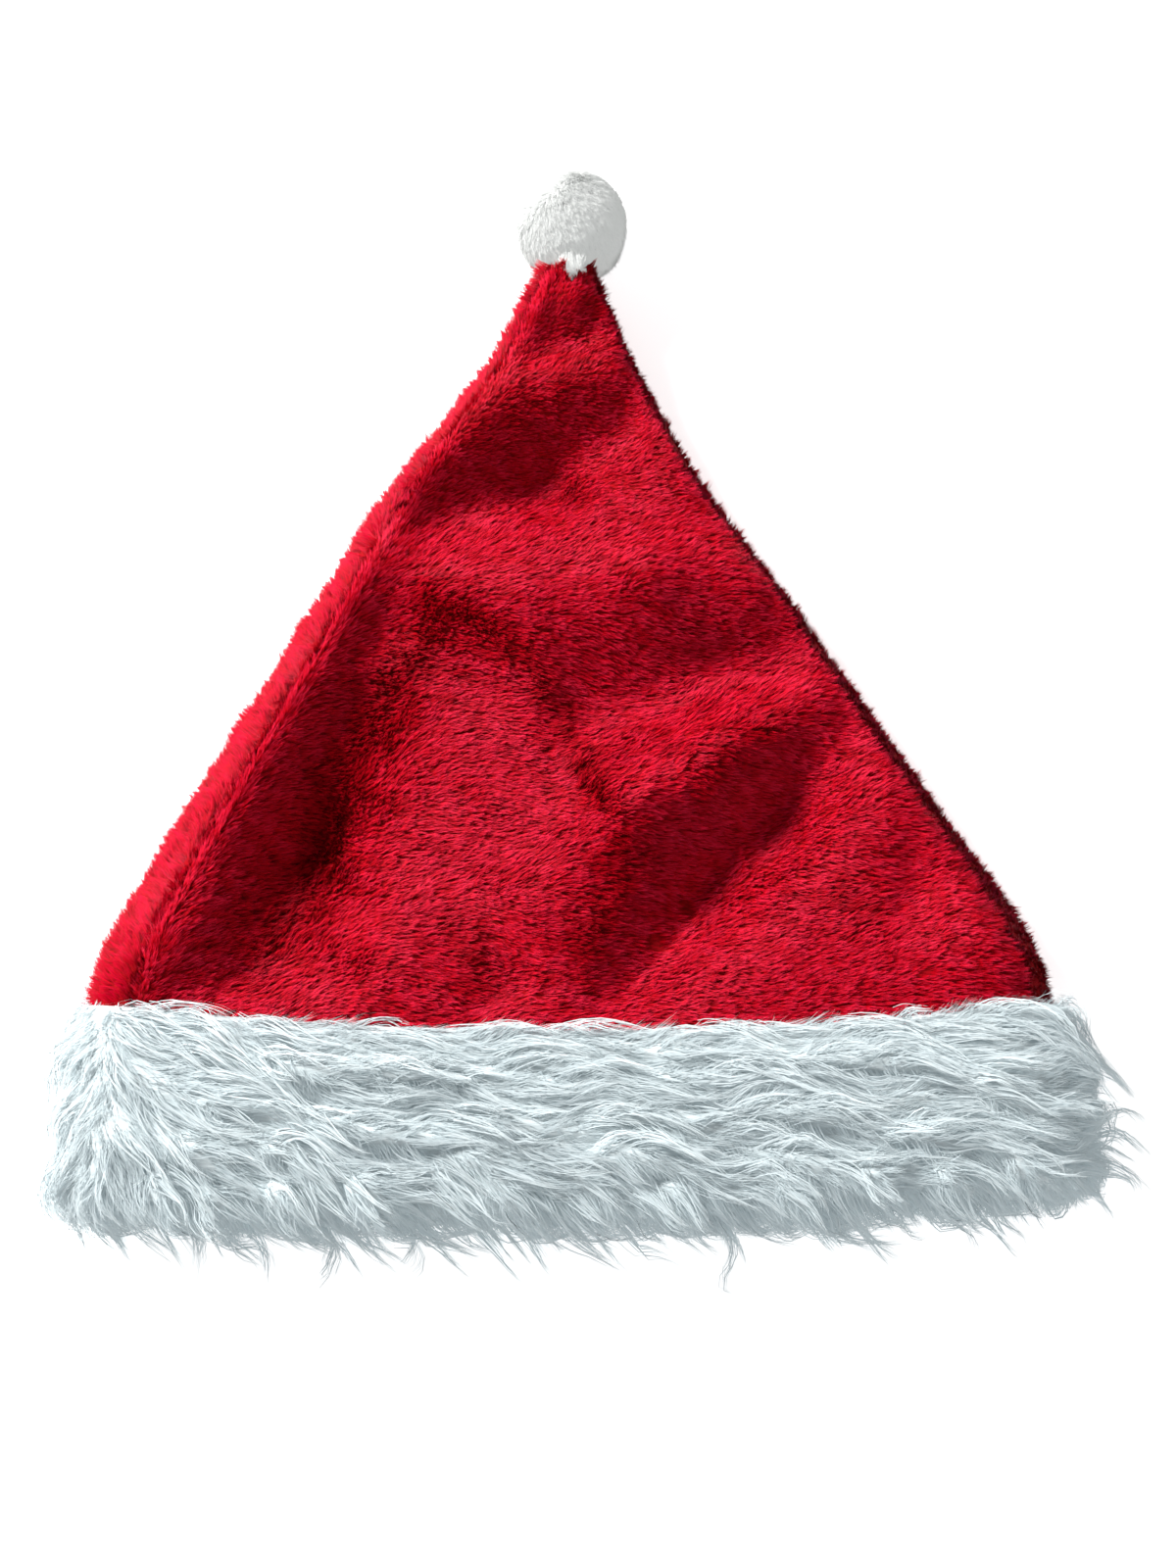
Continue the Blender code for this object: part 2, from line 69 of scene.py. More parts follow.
def add_camera():
    camera = bpy.data.objects.new("camera", bpy.data.cameras.new("camera"))
    bpy.context.scene.collection.objects.link(camera)
    back = Vector((0, -math.cos(VIEW_ELEVATION), math.sin(VIEW_ELEVATION)))
    camera.location = VIEW_TARGET + back * VIEW_DISTANCE
    camera.rotation_euler = (math.pi / 2 - VIEW_ELEVATION, 0, 0)
    camera.data.lens = LENS
    camera.data.clip_start = 0.01
    bpy.context.scene.camera = camera


# Floor and light

FLOOR_HALF = 12
WORLD_STRENGTH = 0.30
# Name, place, target, size, power and colour
LAMPS = (
    ("key", (-1.78, 1.34, 1.34), (-0.01, -0.02, 0.02), 0.68, 164, (1, 0.99, 0.97)),
    ("fill", (0.55, -1.25, 0.60), (0.0, -0.05, 0.02), 1.10, 4, (0.97, 0.99, 1)),
)


def add_area(name, place, target, size, power, colour):
    light = bpy.data.lights.new(name, "AREA")
    light.size = size
    light.energy = power
    light.color = colour
    lamp = bpy.data.objects.new(name, light)
    lamp.location = place
    lamp.rotation_euler = (Vector(target) - Vector(place)).to_track_quat("-Z", "Y").to_euler()
    bpy.context.scene.collection.objects.link(lamp)


def add_studio():
    floor = bpy.data.meshes.new("floor")
    shape = bmesh.new()
    bmesh.ops.create_grid(shape, x_segments=1, y_segments=1, size=FLOOR_HALF)
    shape.to_mesh(floor)
    shape.free()
    floor_object = bpy.data.objects.new("floor", floor)
    bpy.context.scene.collection.objects.link(floor_object)
    material, shader = plain_material("floor_paper", (0.93, 0.93, 0.93), 0.9)
    set_glow(shader, (1, 1, 1), 0.7)
    floor.materials.append(material)
    world = bpy.data.worlds.new("studio")
    bpy.context.scene.world = world
    world.use_nodes = True
    background = world.node_tree.nodes["Background"]
    background.inputs["Color"].default_value = (0.97, 0.985, 1, 1)
    background.inputs["Strength"].default_value = WORLD_STRENGTH
    for lamp in LAMPS:
        add_area(*lamp)
    scene = bpy.context.scene
    scene.view_settings.view_transform = "Standard"
    scene.view_settings.look = "None"


# Materials


def plain_material(name, colour, roughness):
    material = bpy.data.materials.new(name)
    material.use_nodes = True
    shader = material.node_tree.nodes["Principled BSDF"]
    shader.inputs["Base Color"].default_value = (*colour, 1)
    shader.inputs["Roughness"].default_value = roughness
    return material, shader


def set_gloss(shader, specular, sheen, sheen_tint=(1, 1, 1), specular_tint=(1, 1, 1)):
    shader.inputs["Specular IOR Level"].default_value = specular
    shader.inputs["Specular Tint"].default_value = (*specular_tint, 1)
    shader.inputs["Sheen Weight"].default_value = sheen
    shader.inputs["Sheen Tint"].default_value = (*sheen_tint, 1)
    shader.inputs["Sheen Roughness"].default_value = 0.5


def set_glow(shader, colour, strength):
    """A little light of its own, for what scatters inside white fur and paper."""
    shader.inputs["Emission Color"].default_value = (*colour, 1)
    shader.inputs["Emission Strength"].default_value = strength


def strand_material(name, root, middle, tip, spread, roughness):
    """Fibres: v of their UV map runs from root to tip, u differs from fibre to fibre."""
    material, shader = plain_material(name, middle, roughness)
    tree = material.node_tree
    uv = tree.nodes.new("ShaderNodeUVMap")
    uv.uv_map = "OFBake"
    split = tree.nodes.new("ShaderNodeSeparateXYZ")
    # The ramp darkens each fibre towards its root: painted shade where the fibres shade each
    # other.
    ramp = tree.nodes.new("ShaderNodeValToRGB")
    stops = ramp.color_ramp.elements
    stops[0].color = (*root, 1)
    stops[1].color = (*tip, 1)
    stops.new(0.45).color = (*middle, 1)
    noise = tree.nodes.new("ShaderNodeTexNoise")
    noise.noise_dimensions = "1D"
    noise.inputs["Scale"].default_value = 60
    noise.inputs["Detail"].default_value = 1
    shade = tree.nodes.new("ShaderNodeMapRange")
    shade.inputs["From Min"].default_value = 0.3
    shade.inputs["From Max"].default_value = 0.7
    shade.inputs["To Min"].default_value = 1 - spread
    shade.inputs["To Max"].default_value = 1 + spread * 0.6
    mix = tree.nodes.new("ShaderNodeVectorMath")
    mix.operation = "SCALE"
    links = tree.links
    links.new(uv.outputs["UV"], split.inputs["Vector"])
    links.new(split.outputs["Y"], ramp.inputs["Fac"])
    links.new(split.outputs["X"], noise.inputs["W"])
    links.new(noise.outputs["Fac"], shade.inputs["Value"])
    links.new(ramp.outputs["Color"], mix.inputs[0])
    links.new(shade.outputs["Result"], mix.inputs["Scale"])
    links.new(mix.outputs["Vector"], shader.inputs["Base Color"])
    return material, shader


def cloth_material(name, dark, light, scale, stretch, bump):
    """The backing that shows between the fibres: streaks along the pile."""
    material, shader = plain_material(name, light, 0.9)
    tree = material.node_tree
    place = tree.nodes.new("ShaderNodeTexCoord")
    mapping = tree.nodes.new("ShaderNodeMapping")
    mapping.inputs["Scale"].default_value = stretch
    noise = tree.nodes.new("ShaderNodeTexNoise")
    noise.inputs["Scale"].default_value = scale
    noise.inputs["Detail"].default_value = 4
    ramp = tree.nodes.new("ShaderNodeValToRGB")
    ramp.color_ramp.elements[0].position = 0.35
    ramp.color_ramp.elements[0].color = (*dark, 1)
    ramp.color_ramp.elements[1].position = 0.65
    ramp.color_ramp.elements[1].color = (*light, 1)
    relief = tree.nodes.new("ShaderNodeBump")
    relief.inputs["Strength"].default_value = 0.6
    relief.inputs["Distance"].default_value = bump
    links = tree.links
    links.new(place.outputs["Object"], mapping.inputs["Vector"])
    links.new(mapping.outputs["Vector"], noise.inputs["Vector"])
    links.new(noise.outputs["Fac"], ramp.inputs["Fac"])
    links.new(ramp.outputs["Color"], shader.inputs["Base Color"])
    links.new(noise.outputs["Fac"], relief.inputs["Height"])
    links.new(relief.outputs["Normal"], shader.inputs["Normal"])
    return material, shader


# Meshes from arrays


def array_mesh(name, corners, quads, triangles, uv, facing):
    """A mesh with a UV and a shading normal (facing) for each corner point."""
    mesh = bpy.data.meshes.new(name)
    loops = np.concatenate([quads.ravel(), triangles.ravel()]).astype(np.int32)
    starts = np.concatenate(
        [np.arange(len(quads)) * 4, len(quads) * 4 + np.arange(len(triangles)) * 3]
    ).astype(np.int32)
    mesh.vertices.add(len(corners))
    mesh.vertices.foreach_set("co", corners.astype(np.float32).ravel())
    mesh.loops.add(len(loops))
    mesh.loops.foreach_set("vertex_index", loops)
    mesh.polygons.add(len(starts))
    mesh.polygons.foreach_set("loop_start", starts)
    mesh.update(calc_edges=True)
    layer = mesh.uv_layers.new(name="OFBake")
    layer.data.foreach_set("uv", uv[loops].astype(np.float32).ravel())
    mesh.shade_smooth()
    mesh.normals_split_custom_set_from_vertices(unit(facing))
    return mesh


def unit(v):
    return v / np.maximum(np.linalg.norm(v, axis=-1, keepdims=True), 1e-12)


def in_plane(ways, normals):
    """Unit directions: what is left of ways in the planes that the normals stand on."""
    return unit(ways - normals * (ways * normals).sum(axis=1)[:, None])


def off_floor(points, height=0.0001):
    """Raises, in place, the points that lie lower than height."""
    points[..., 2] = np.maximum(points[..., 2], height)


def spikes(name, roots, tips, normals, shading, width, shade, softness):
    """Short straight fibres: each is a thin blade that lies face up on the surface.

    shade is how far up the material's ramp from root to tip each one reaches, and softness
    how much its shading normal follows that of shading.
    """
    count = len(roots)
    along = unit(tips - roots)
    side = unit(np.cross(along, normals))
    up = np.cross(side, along)
    roll = chance.normal(0, 0.22, (count, 1))
    side, up = side * np.cos(roll) + up * np.sin(roll), up * np.cos(roll) - side * np.sin(roll)
    corners = np.empty((count, 3, 3))
    corners[:, 0] = roots - side * (width / 2)[:, None]
    corners[:, 1] = roots + side * (width / 2)[:, None]
    corners[:, 2] = tips
    off_floor(corners)
    uv = np.empty((count, 3, 2))
    uv[:, :, 0] = chance.random((count, 1)) + np.array([0, 0.004, 0.002])
    uv[:, :, 1] = np.array([0.01, 0.01, 0.99])
    uv[:, 2, 1] *= shade
    facing = np.repeat(unit(up) * (1 - softness) + shading * softness, 3, axis=0)
    triangles = np.arange(count * 3).reshape(-1, 3)
    none = np.empty((0, 4), int)
    return array_mesh(name, corners.reshape(-1, 3), none, triangles, uv.reshape(-1, 2), facing)


def ribbons(name, paths, normals, width, softness):
    """Long curved fibres: tapered ribbons along paths (count, points, 3).

    Each starts at 0.55 of its width, is full at a quarter of its length and ends in a point.
    """
    count, points = paths.shape[:2]
    along = unit(np.gradient(paths, axis=1))
    side = unit(np.cross(along, normals[:, None, :]))
    other = np.cross(along, side)
    roll = chance.normal(0, 0.7, (count, 1, 1))
    side = side * np.cos(roll) + other * np.sin(roll)
    t = np.linspace(0, 1, points)
    taper = (0.55 + 0.45 * np.minimum(t / 0.25, 1)) * (1 - t**2.2) + 0.04
    half = side * (width[:, None] * taper)[:, :, None] / 2
    rings = points - 1
    corners = np.empty((count, 2 * rings + 1, 3))
    corners[:, 0 : 2 * rings : 2] = (paths - half)[:, :-1]
    corners[:, 1 : 2 * rings : 2] = (paths + half)[:, :-1]
    corners[:, -1] = paths[:, -1]
    off_floor(corners)
    first = np.arange(count)[:, None] * (2 * rings + 1)
    steps = np.arange(rings - 1)[None] * 2
    base = (first + steps).ravel()
    quads = np.stack([base, base + 1, base + 3, base + 2], axis=1)
    last = (first + 2 * rings - 2).ravel()
    triangles = np.stack([last, last + 1, last + 2], axis=1)
    uv = np.empty((count, 2 * rings + 1, 2))
    u = chance.random((count, 1))
    uv[:, 0::2, 0] = u
    uv[:, 1::2, 0] = u + 0.004
    uv[:, 0 : 2 * rings : 2, 1] = t[:-1] * 0.98 + 0.01
    uv[:, 1 : 2 * rings : 2, 1] = t[:-1] * 0.98 + 0.01
    uv[:, -1, 1] = 0.99
    up = unit(np.cross(side, along))
    up = up * np.sign((up * normals[:, None, :]).sum(axis=2, keepdims=True) + 1e-6)
    blend = up * (1 - softness) + normals[:, None, :] * softness
    facing = np.empty((count, 2 * rings + 1, 3))
    facing[:, 0 : 2 * rings : 2] = blend[:, :-1]
    facing[:, 1 : 2 * rings : 2] = blend[:, :-1]
    facing[:, -1] = blend[:, -1]
    facing = facing.reshape(-1, 3)
    return array_mesh(name, corners.reshape(-1, 3), quads, triangles, uv.reshape(-1, 2), facing)


def add_piece(name, mesh, material, node=None):
    piece = bpy.data.objects.new(name, mesh)
    bpy.context.scene.collection.objects.link(piece)
    mesh.materials.clear()
    mesh.materials.append(material)
    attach(piece, "root")
    if node:
        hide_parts(node)
    return piece


# Surfaces to grow the fibres on


def smooth_copy(node, name):
    """The CAD solid's form as a subdivision surface."""
    shape = bmesh.new()
    shape.from_mesh(nodes[node].data)
    bmesh.ops.remove_doubles(shape, verts=shape.verts, dist=0.00001)
    bmesh.ops.join_triangles(
        shape, faces=shape.faces, angle_face_threshold=0.6, angle_shape_threshold=0.8
    )
    mesh = bpy.data.meshes.new(name)
    shape.to_mesh(mesh)
    shape.free()
    helper = bpy.data.objects.new(name + "_helper", mesh)
    bpy.context.scene.collection.objects.link(helper)
    subdivision = helper.modifiers.new("smooth", "SUBSURF")
    subdivision.levels = subdivision.render_levels = 1
    bpy.context.view_layer.update()
    graph = bpy.context.evaluated_depsgraph_get()
    result = bpy.data.meshes.new_from_object(helper.evaluated_get(graph))
    bpy.data.objects.remove(helper)
    result.name = name
    result.shade_smooth()
    return result


# The edge of the plush where it laps over the pompom: x, then y in the solid and y shown
TIP_EDGE = (
    (-0.0169, -0.0105, -0.0079, -0.0051, -0.0016, 0.0036),
    (0.1278, 0.1385, 0.1411, 0.1370, 0.1385, 0.1300),
    (0.1278, 0.1345, 0.1330, 0.1290, 0.1318, 0.1274),
)
TIP_FROM = 0.118  # y from which it is drawn down


def shape_tip(mesh):
    """Draws the plush's last centimetre down to two small peaks with a notch between them."""
    for vertex in mesh.vertices:
        x, y, z = vertex.co
        if y > TIP_FROM:
            solid = np.interp(x, TIP_EDGE[0], TIP_EDGE[1]) - TIP_FROM
            shown = np.interp(x, TIP_EDGE[0], TIP_EDGE[2]) - TIP_FROM
            vertex.co.y = TIP_FROM + (y - TIP_FROM) * min(shown / solid, 1)
    mesh.update()


def tree_of(meshes):
    corners, faces = [], []
    for mesh in meshes:
        first = len(corners)
        corners += [v.co.copy() for v in mesh.vertices]
        faces += [[first + i for i in p.vertices] for p in mesh.polygons]
    return BVHTree.FromPolygons(corners, faces)


def outer_triangles(mesh, whole, reach=0.05):
    """(corners, normals, areas) of the triangles that face open air, with nothing in reach."""
    mesh.calc_loop_triangles()
    points = np.empty(len(mesh.vertices) * 3)
    mesh.vertices.foreach_get("co", points)
    points = points.reshape(-1, 3)
    index = np.empty(len(mesh.loop_triangles) * 3, np.int32)
    mesh.loop_triangles.foreach_get("vertices", index)
    corners = points[index.reshape(-1, 3)]
    cross = np.cross(corners[:, 1] - corners[:, 0], corners[:, 2] - corners[:, 0])
    normals = unit(cross)
    keep = []
    for middle, normal in zip(corners.mean(axis=1), normals):
        start = Vector(middle) + Vector(normal) * 0.0004
        keep.append(whole.ray_cast(start, Vector(normal), reach)[0] is None)
    keep = np.array(keep)
    return corners[keep], normals[keep], np.linalg.norm(cross[keep], axis=1) / 2


SEAM_REACH = 0.005


def closeness(seam, points):
    """1 at the seam with the panel of that tree, 0 from SEAM_REACH away."""
    near = np.array([seam.find_nearest(Vector(point))[3] for point in points])
    return np.clip(1 - near / SEAM_REACH, 0, 1)


def scatter(triangles, count, density=None, seam=None):
    """count random (point, normal) pairs spread over triangles by area and density."""
    corners, normals, areas = triangles
    weight = areas if density is None else areas * density(corners.mean(axis=1), normals)
    if seam:
        weight = weight * (1 + 2.2 * closeness(seam, corners.mean(axis=1)))
    pick = chance.choice(len(areas), count, p=weight / weight.sum())
    a, b = np.sqrt(chance.random(count)), chance.random(count)
    mix = np.stack([1 - a, a * (1 - b), a * b], axis=1)
    return (corners[pick] * mix[:, :, None]).sum(axis=1), normals[pick]


def waves(points, scale, seed, octaves=3):
    """Smooth random values round 0 at points, from sums of turned sine waves."""
    turned = np.random.default_rng(seed)
    total = np.zeros(len(points))
    for octave in range(octaves):
        for _ in range(5):
            way = unit(turned.normal(size=3)) * 2 * math.pi / scale * 1.8**octave
            total += np.sin(points @ way + turned.random() * 6.3) / 1.6**octave
    return total / 3


# Plush pile

# Tufts on each half of the front and on the back, and fibres in each tuft
FRONT_TUFTS, FRONT_FIBRES = 31000, 6
BACK_TUFTS, BACK_FIBRES = 22000, 5

# Where the nap is ruffled and stands up: (x, y) of both ends of a line, half width, strength
RUFFLED = [
    (-0.100, -0.085, -0.066, -0.010, 0.012, 1.0),
    (-0.066, -0.010, -0.050, 0.012, 0.009, 0.9),
    (-0.052, 0.022, -0.022, 0.004, 0.005, 0.9),
    (-0.022, 0.004, -0.006, -0.026, 0.005, 0.7),
    (-0.006, -0.026, 0.004, -0.046, 0.005, 0.7),
    (0.010, -0.060, -0.004, -0.090, 0.007, 0.8),
    (-0.040, -0.084, -0.034, -0.100, 0.006, 0.6),
    (-0.034, 0.078, -0.004, 0.100, 0.008, 0.5),
    (0.030, -0.040, 0.054, -0.020, 0.006, 0.5),
    (0.075, -0.072, 0.080, -0.076, 0.006, 0.7),
]

# The crown's left outline seen from above: y, then x
LEFT_OUTLINE = (
    (-0.105, -0.060, 0.000, 0.050, 0.100, 0.135),
    (-0.152, -0.126, -0.096, -0.066, -0.036, -0.017),
)


def ruffled(points):
    """0 where the nap lies combed, up to 1 where it stands up."""
    total = np.zeros(len(points))
    for x0, y0, x1, y1, width, strength in RUFFLED:
        start = np.array([x0, y0])
        line = np.array([x1, y1]) - start
        t = np.clip((points[:, :2] - start) @ line / (line @ line), 0, 1)
        away = np.linalg.norm(points[:, :2] - start - t[:, None] * line, axis=1) / width
        total = np.maximum(total, strength * np.exp(-(away**2)))
    return np.clip(total + 0.25 * waves(points, 0.012, 41) * np.minimum(total * 2, 1), 0, 1)


def pile(name, triangles, tufts, per_tuft, field, look, density=None, seam=None):
    """Tufts of short fibres that lean along field(points, normals).

    look holds their length, width, lean off the normal, spread round the tuft's middle, gather
    of their ends as a share of the spread, shade and softness, and how uneven, tufty and mottled
    they are. lift turns their shading upwards, over_seam draws them over the seam, and a
    ruffled pile stands up where RUFFLED says.
    """
    centres, normals = scatter(triangles, tufts, density, seam)
    flow = in_plane(field(centres, normals), normals)
    rough = ruffled(centres) if "ruffled" in look else np.zeros(tufts)
    close = closeness(seam, centres) if seam else np.zeros(tufts)
    side = np.cross(normals, flow)
    uneven = look.get("uneven", 0.25)
    long = look["length"](centres, normals) * chance.uniform(1 - uneven, 1 + uneven, tufts)
    angle = look["lean"] + 0.14 * waves(centres, 0.02, 5) + chance.normal(0, 0.09, tufts)
    angle = np.clip(angle - rough * 0.6, -0.4, 1.32)
    if seam:
        across = np.array([seam.find_nearest(Vector(c))[0] for c in centres]) - centres
        across = in_plane(across, normals)
        flow = unit(flow + across * (close * look["over_seam"])[:, None])
        side = np.cross(normals, flow)
        angle = angle * (1 - 0.40 * close)
        long = long * (1 + 0.15 * close)
    long = long * (1 + look.get("tufty", 0) * waves(centres, 0.006, 61))
    rise = np.cos(angle)[:, None]
    tips = centres + long[:, None] * (normals * rise + flow * np.sin(angle)[:, None])

    def again(values):
        return np.repeat(values, per_tuft, axis=0)

    count = tufts * per_tuft
    spread = look["spread"]
    out = chance.normal(0, spread, (count, 2))
    roots = again(centres) + again(side) * out[:, :1] + again(flow) * out[:, 1:] * 1.3
    roots = roots - again(normals) * 0.0004
    ends = again(tips) + chance.normal(0, spread * look["gather"], (count, 3))
    ends = roots + (ends - roots) * chance.uniform(0.7, 1.05, (count, 1))
    off_floor(ends)
    off_floor(roots)
    width = look["width"] * chance.uniform(0.7, 1.2, count)
    # Fibres near the seam reach further up the ramp: painted light over the seam's groove.
    shade = look["shade"] + (1 - look["shade"]) * close
    shade = shade * (1 + look.get("mottled", 0.16) * waves(centres, 0.009, 51))
    # Ruffled pile reaches less far up the ramp: painted shade where the nap stands up.
    shade = shade * (1 - 0.40 * rough)
    shade = np.clip(again(shade) * chance.uniform(0.85, 1.1, count), 0.1, 1)
    lifted = unit(normals + np.array([0, 0, look.get("lift", 0)]))
    facing = again(normals), again(lifted)
    return spikes(name, roots, ends, *facing, width, shade, look["softness"])


def turned(flow, normals, angle):
    """flow turned about the normals by an angle each."""
    side = np.cross(normals, flow)
    return flow * np.cos(angle)[:, None] + side * np.sin(angle)[:, None]


def from_left_edge(points):
    """How far each point lies to the right of the crown's left outline."""
    return points[:, 0] - np.interp(points[:, 1], LEFT_OUTLINE[0], LEFT_OUTLINE[1])


def front_field(points, normals):
    """To the right, and upwards along the left edge."""
    flow = np.cross(np.array([0.0, 1.0, 0.0]), normals)
    angle = 0.02 + 0.22 * waves(points, 0.045, 3) + 0.12 * waves(points, 0.012, 4)
    angle = angle + 0.85 * np.exp(-((np.maximum(from_left_edge(points), 0) / 0.024) ** 2))
    return turned(flow, normals, angle)


def back_field(points, normals):
    """To the left, and upwards where the panel wraps up round the left edge."""
    flow = np.cross(normals, np.array([0.0, 1.0, 0.0]))
    left = np.clip((-normals[:, 0] + 0.5) / 0.6, 0, 1)
    left = left * (points[:, 0] < 0) * (normals[:, 2] > -0.4)
    flow = flow + left[:, None] * np.array([0.35, 0.95, 0.1])
    angle = 0.20 + 0.35 * waves(points, 0.03, 8) + 0.3 * waves(points, 0.009, 9)
    return turned(flow, normals, angle)


def add_crown(front, back, whole):
    # red_pile's near-black root is painted shade, and the pink in its tip colour is a painted
    # highlight.
    red, shader = strand_material(
        "red_pile", (0.085, 0.0, 0.0), (0.54, 0.0, 0.006), (0.92, 0.022, 0.080), 0.25, 0.50
    )
    set_gloss(shader, 0.12, 0.04, (1.0, 0.15, 0.35), (1.0, 0.24, 0.5))
    # The red backing is darker than the fibres: painted shade in the gaps between them.
    backing, shader = cloth_material(
        "red_backing", (0.16, 0.0, 0.001), (0.34, 0.0, 0.005), 900, (0.25, 1, 1), 0.0006
    )
    set_gloss(shader, 0.1, 0.0, (1.0, 0.3, 0.4))
    # red_pile_edge is a darker, less pink copy of the red pile: painted shade that offsets the
    # key light falling on the back panel's left edge.
    edge_red, shader = strand_material(
        "red_pile_edge", (0.18, 0.0, 0.001), (0.40, 0.0, 0.007), (0.60, 0.0, 0.030), 0.35, 0.5
    )
    set_gloss(shader, 0.12, 0.04, (1.0, 0.2, 0.4), (1.0, 0.2, 0.4))
    add_piece("plush_front", front, backing, "crown_front")
    add_piece("plush_back", back, backing, "crown_back")
    upper = outer_triangles(front, whole)
    lower = outer_triangles(back, whole)

    def short(points, normals):
        return 0.0040 * (1 - 0.35 * np.clip((points[:, 1] - 0.02) / 0.08, 0, 1))

    def longer(points, normals):
        left = np.clip((-normals[:, 0] + 0.2) / 0.8, 0, 1) * (points[:, 0] < 0)
        return 0.0034 + 0.0010 * left

    def sides(points, normals):
        return np.where(normals[:, 2] > -0.6, 3.0, 0.5)

    look = {"length": short, "width": 0.00030, "spread": 0.00042, "lean": 1.15, "gather": 0.35}
    look.update(shade=0.85, softness=0.45, ruffled=True, over_seam=0.8)
    other_panel = tree_of([back])
    for half in (1, 2):
        name = f"pile_front_{half}"
        tufts = FRONT_TUFTS, FRONT_FIBRES
        mesh = pile(name, upper, *tufts, front_field, look, seam=other_panel)
        add_piece(name, mesh, red)
    look = {"length": longer, "width": 0.00032, "spread": 0.00045, "lean": 1.02, "gather": 0.5}
    look.update(shade=0.95, softness=0.6, over_seam=1.6, tufty=0.30, mottled=0.30, uneven=0.12)
    tufts = BACK_TUFTS, BACK_FIBRES
    mesh = pile("pile_back", lower, *tufts, back_field, look, sides, tree_of([front]))
    add_piece("pile_back", mesh, edge_red)


# Long fur

UNDER_TUFTS, UNDER_FIBRES = 15000, 5
LOCKS = 830  # in each of the two pieces
LOCK_FIBRES = 12
LOCK_STEPS = 7  # along each fibre
FIBRE_WIDTH = 0.00034
FUR_REACH = 0.017  # how far the fur may stand out of the solids' box


def fur_flow(points, normals, phase):
    """Which way the brim's fur flows, before it follows the surface.

    low, high, left and end rise from 0 to 1 towards the mouth, the brim's upper edge, its left
    part and its left end.
    """
    x, y = points[:, 0], points[:, 1]
    low = np.clip((-0.148 - y) / 0.020, 0, 1)
    high = np.clip((y + 0.124) / 0.016, 0, 1)
    left = np.clip((-0.050 - x) / 0.080, 0, 1)
    turn = 2 * math.pi
    wave = 0.36 * np.sin(turn * (x / 0.050 + y / 0.09) + phase)
    wave += 0.20 * np.sin(turn * (x / 0.023 - y / 0.05) + 2 * phase)
    heading = -0.10 + wave * (1 - 0.4 * high) - 0.55 * low - 0.50 * left - 0.42 * high
    flow = np.stack([np.cos(heading), np.sin(heading), np.full(len(x), -0.15)], axis=1)
    curl = np.sin(y * 330 + phase)
    ones = np.ones(len(x))
    outward = np.stack([0.40 * curl - 0.45, -0.8 * ones, -0.35 * ones], axis=1)
    end = np.clip((-0.1365 - x) / 0.006, 0, 1)[:, None]
    flow = flow + (outward - flow) * end * 0.9
    over_the_edge = flow * 0.3 + np.array([0.45, -0.6, -0.75]) * 0.7
    return np.where(normals[:, 1:2] < -0.4, over_the_edge, flow)


def nearest(surface, points):
    """The closest point of the surface to each point, and the normal there."""
    found = [surface.find_nearest(Vector(point)) for point in points]
    return np.array([tuple(f[0]) for f in found]), np.array([tuple(f[1]) for f in found])


def phase_of(points):
    """The shift of the flow's waves, which changes with y, so that rows don't line up."""
    return 0.9 * np.sin(points[:, 1] * 150)


def grow(surface, starts, normals, length, height, hold, phase, steps):
    """Paths that rise off the surface, follow the flow over it and end free."""
    step = (length / steps)[:, None]
    hold = hold[:, None]
    points = starts - normals * 0.0006
    flow = fur_flow(starts, normals, phase)
    heading = unit(in_plane(flow, normals) * 0.75 + normals * 0.66)
    paths = [points]
    for k in range(steps):
        near, near_normal = nearest(surface, points)
        above = ((points - near) * near_normal).sum(axis=1)[:, None]
        flow = fur_flow(points, near_normal, phase)
        follow = unit(flow - near_normal * (flow * near_normal).sum(axis=1)[:, None] * hold)
        target = height[:, None] * math.sin(math.pi * min((k + 1) / steps * 0.75 + 0.15, 1))
        lift = np.clip((target - above) / step * 0.8, -0.7, 0.7)
        heading = unit(heading * 0.45 + unit(follow + near_normal * lift * hold) * 0.55)
        heading[:, 2:] -= np.where(hold < 0.5, 0.10, 0)
        points = points + unit(heading) * step
        off_floor(points, 0.0005)
        paths.append(points)
    return np.stack(paths, axis=1)


def inside(paths, reach):
    """The paths, each drawn back to its root where it would leave the CAD box by over reach."""
    low, high = np.array(cad_box[0]) - reach, np.array(cad_box[1]) + reach
    root = paths[:, :1]
    away = paths - root
    down = (root[:, 0] - low) / np.maximum(-away.min(axis=1), 1e-6)
    up = (high - root[:, 0]) / np.maximum(away.max(axis=1), 1e-6)
    share = np.minimum(np.minimum(down, up).min(axis=1), 1)
    return root + away * share[:, None, None]


